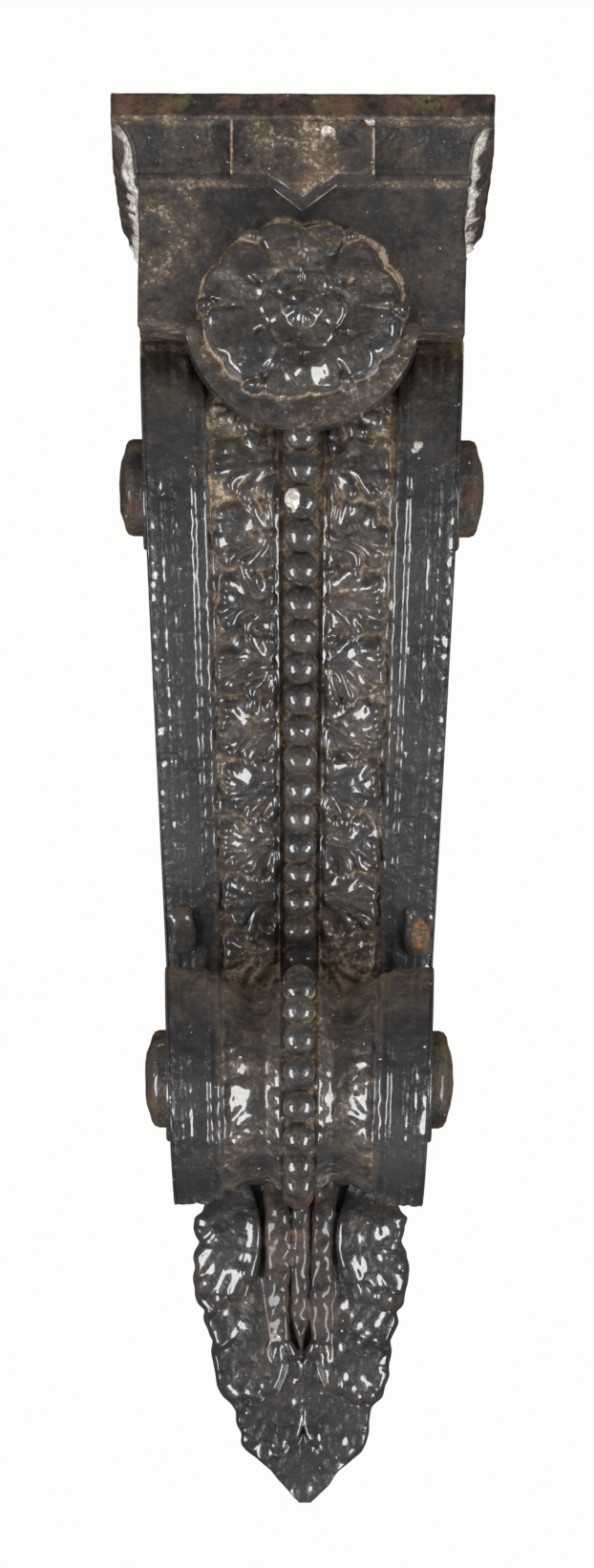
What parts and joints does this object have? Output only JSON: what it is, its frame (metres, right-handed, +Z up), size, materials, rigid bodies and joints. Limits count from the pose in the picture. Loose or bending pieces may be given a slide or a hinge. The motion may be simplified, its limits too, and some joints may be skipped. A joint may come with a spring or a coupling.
{
  "type": "cast iron corbel",
  "caption": "Tall bracket corbel with a moulded cap, a rosette, a beaded leaf-carved scroll ending in a drum, and a hanging leaf; flat hollow back to fix to a wall.",
  "frame": {"origin": "on the flat back of the cross web behind the hollow of the scroll, on the centre line, where the casting meets the wall", "axes": "+Y into the wall, so the carved front faces -Y; +Z up; +X to the right seen from the front"},
  "size_m": [0.249, 0.264, 0.8981],
  "materials": {
    "painted_cast_iron": "many coats of worn gloss charcoal-black paint over cast iron, with brown dirt in the hollows, rust at edges and bosses, and small pale chips"
  },
  "bodies": {
    "root": {"corbel": "painted_cast_iron"}
  },
  "joints": []
}
